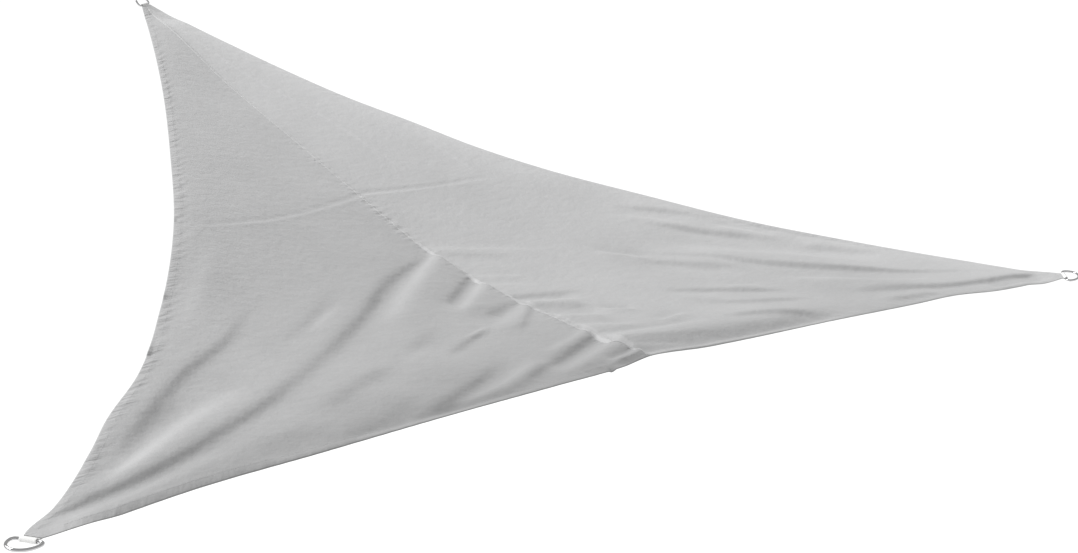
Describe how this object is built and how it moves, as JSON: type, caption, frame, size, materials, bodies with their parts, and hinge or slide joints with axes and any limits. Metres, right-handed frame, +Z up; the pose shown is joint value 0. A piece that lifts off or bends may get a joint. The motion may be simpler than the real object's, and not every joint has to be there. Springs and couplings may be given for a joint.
{
  "type": "shade sail",
  "caption": "Triangular shade sail of woven polyester with hollow-cut hemmed sides, a middle seam and a steel D-ring in a webbing loop at each corner, hung slack from its high ring.",
  "frame": {"origin": "middle of the high ring's eye, where the sail hangs", "axes": "+X along the level lower side from the left corner to the right corner, +Y level and towards the high corner, +Z up"},
  "size_m": [3.0805, 2.5487, 0.7813],
  "materials": {
    "cloth": "light grey plain-weave polyester, matt",
    "webbing": "white woven webbing",
    "ring_steel": "polished stainless steel"
  },
  "bodies": {
    "root": {"panel_left": "cloth", "panel_right": "cloth", "webbing_loop_high": "webbing", "webbing_loop_left": "webbing", "webbing_loop_right": "webbing", "d_ring_high": "ring_steel", "d_ring_left": "ring_steel", "d_ring_right": "ring_steel"}
  },
  "joints": []
}
